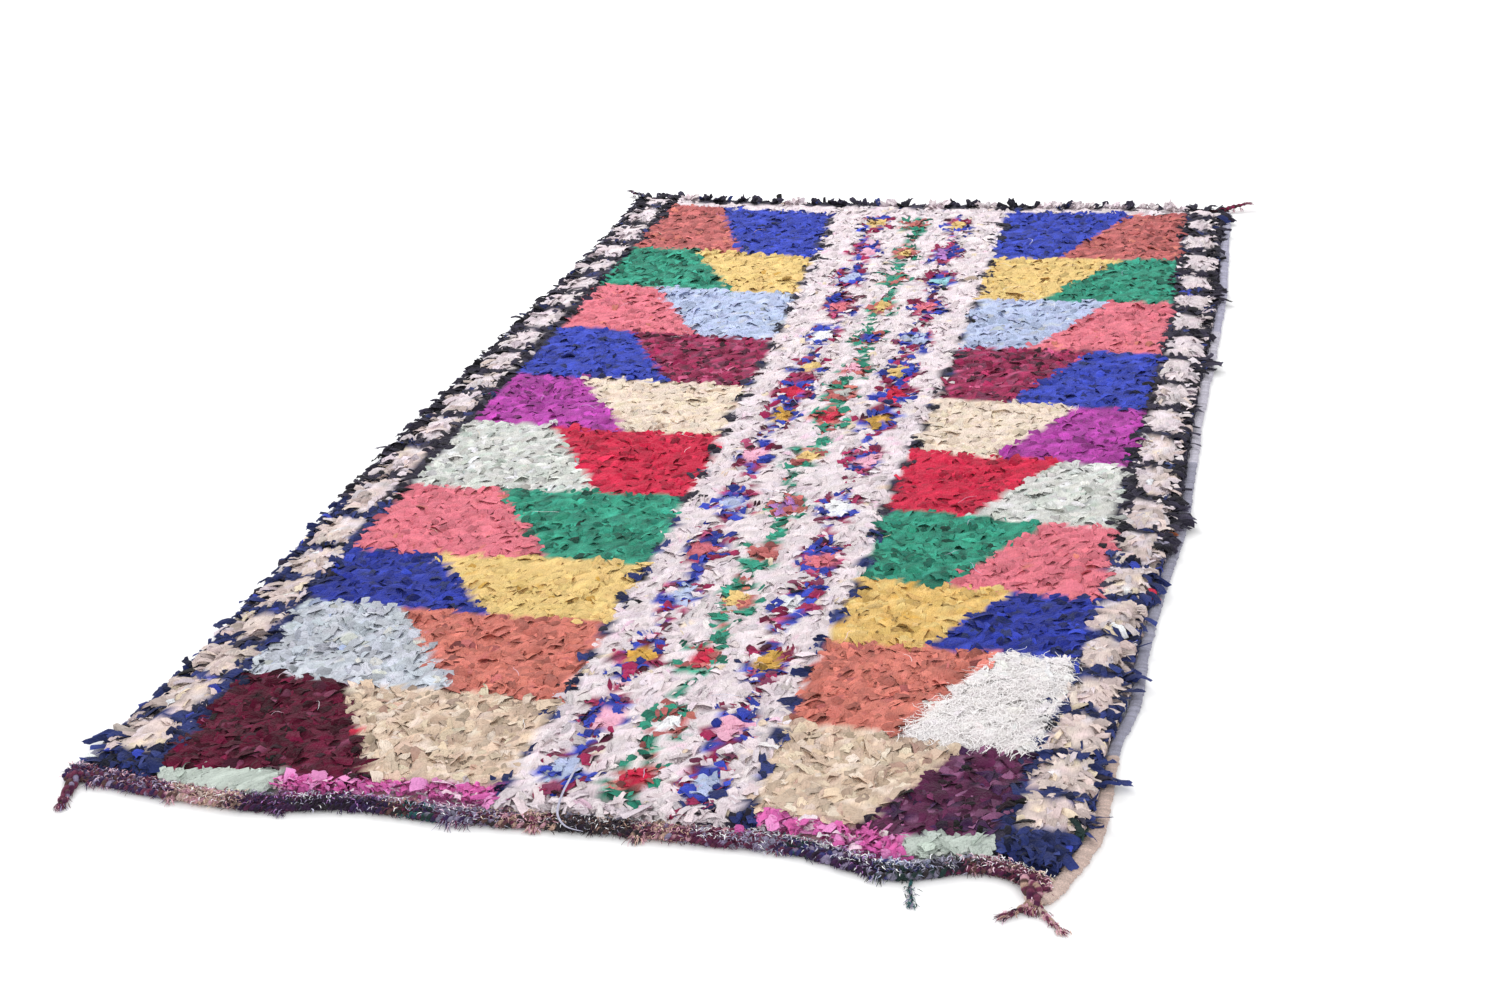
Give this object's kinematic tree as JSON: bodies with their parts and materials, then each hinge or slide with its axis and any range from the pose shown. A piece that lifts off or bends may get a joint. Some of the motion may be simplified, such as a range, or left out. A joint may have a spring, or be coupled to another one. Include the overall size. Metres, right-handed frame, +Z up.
{
  "type": "boucherouite rug",
  "caption": "Flat hand-knotted rag rug with a deep uneven pile of cut cloth strips in colour bands and flower garlands, overwrapped sides, twined ends and plaited corner tails.",
  "frame": {"origin": "centre of the rug's bounding box in plan, tails included, on the floor it lies on", "axes": "+Y along the rug towards its far end, +X across it to the right, +Z up out of the pile"},
  "size_m": [1.5172, 2.8108, 0.0249],
  "materials": {
    "rag_pile": "matte cut cotton and synthetic rag strips, many colours",
    "selvedge_yarn": "matte wrapped yarn",
    "twined_yarn": "matte melange wool yarn"
  },
  "bodies": {
    "root": {"rug": "rag_pile", "selvedge_left": "selvedge_yarn", "selvedge_right": "selvedge_yarn", "end_braid_near": "twined_yarn", "end_braid_far": "twined_yarn", "corner_plait_left": "twined_yarn", "corner_plaits_right": "twined_yarn", "end_tassel": "twined_yarn"}
  },
  "joints": []
}
